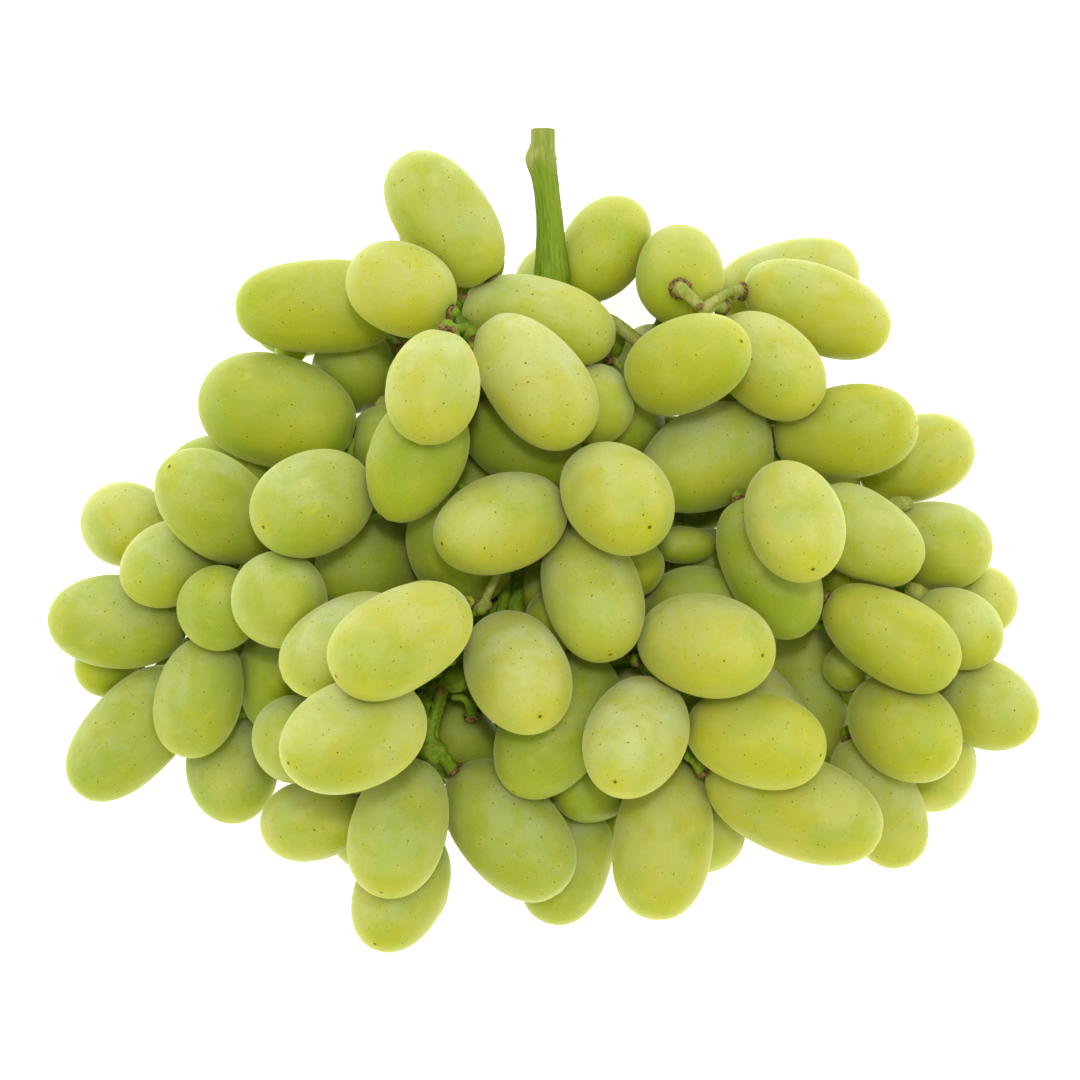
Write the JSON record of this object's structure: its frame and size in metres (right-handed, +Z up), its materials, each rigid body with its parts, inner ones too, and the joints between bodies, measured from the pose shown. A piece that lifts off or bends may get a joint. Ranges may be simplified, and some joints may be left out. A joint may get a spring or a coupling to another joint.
{
  "type": "bunch of grapes",
  "caption": "Bunch of large oval pale green table grapes lying on its side, with a short cut green stem and its side branches reaching the berries.",
  "frame": {"origin": "centre of the bunch's box in X and Y, at the height of the surface that the bunch lies on", "axes": "+X across the bunch (to the right in the picture), +Y toward the cut end of the stem (up in the picture), +Z up from the resting surface (toward the picture's camera)"},
  "size_m": [0.2078, 0.1706, 0.0936],
  "materials": {
    "berry": "semi-translucent skin with a powdery bloom",
    "stem": "matte fresh green stem, cut end pale"
  },
  "bodies": {
    "root": {"berry_C1": "berry", "berry_C4": "berry", "berry_C2": "berry", "berry_C5": "berry", "berry_T5": "berry", "berry_T6": "berry", "berry_R15": "berry", "berry_R14": "berry", "berry_R16": "berry", "berry_R3": "berry", "berry_T13": "berry", "berry_C7": "berry", "berry_C9": "berry", "berry_C3": "berry", "berry_L1": "berry", "berry_L6": "berry", "berry_T2": "berry", "berry_C6": "berry", "berry_L13": "berry", "berry_T15": "berry", "berry_R7": "berry", "berry_R17": "berry", "berries_L10_L11_L14": "berry", "berries_L15_L16_L17": "berry", "berries_R4_R24_H30": "berry", "berries_C11_C20_H42": "berry", "berries_C19_R21_R20": "berry", "berries_H24_T4_T3": "berry", "berries_H25_H38_C8": "berry", "berries_C21_C14_C12": "berry", "berries_R1_T16_H40": "berry", "berries_T14_T12_H39": "berry", "berries_H29_H10_R2": "berry", "berries_H17_T19_T18": "berry", "berries_T11_T9_T10": "berry", "berries_C10_H07_H32": "berry", "berries_R10_R12_R11": "berry", "berries_H37_R9_R8": "berry", "berries_R13_R23_R19": "berry", "berries_H26_T1_T7": "berry", "berries_H19_R22_H05": "berry", "berries_T17_L2_H33": "berry", "berries_H16_H34_H11": "berry", "berries_H22_H21_H08": "berry", "berries_H23_H41_L4": "berry", "berries_H28_H45_L20": "berry", "berries_H44_L8_L12": "berry", "berries_H04_R18_H31": "berry", "berries_C15_C13_C16": "berry", "berries_C17_H20_H13": "berry", "berries_H35_L3_H27": "berry", "berries_C18_H12_H02": "berry", "berries_H36_H14_H18": "berry", "berries_L5_H06_H03": "berry", "berries_H15_H43_L18": "berry", "berries_L7_L9_H01": "berry", "berries_H09_L19": "berry", "berries_H00_R5_R6": "berry", "main_stem": "stem"}
  },
  "joints": []
}
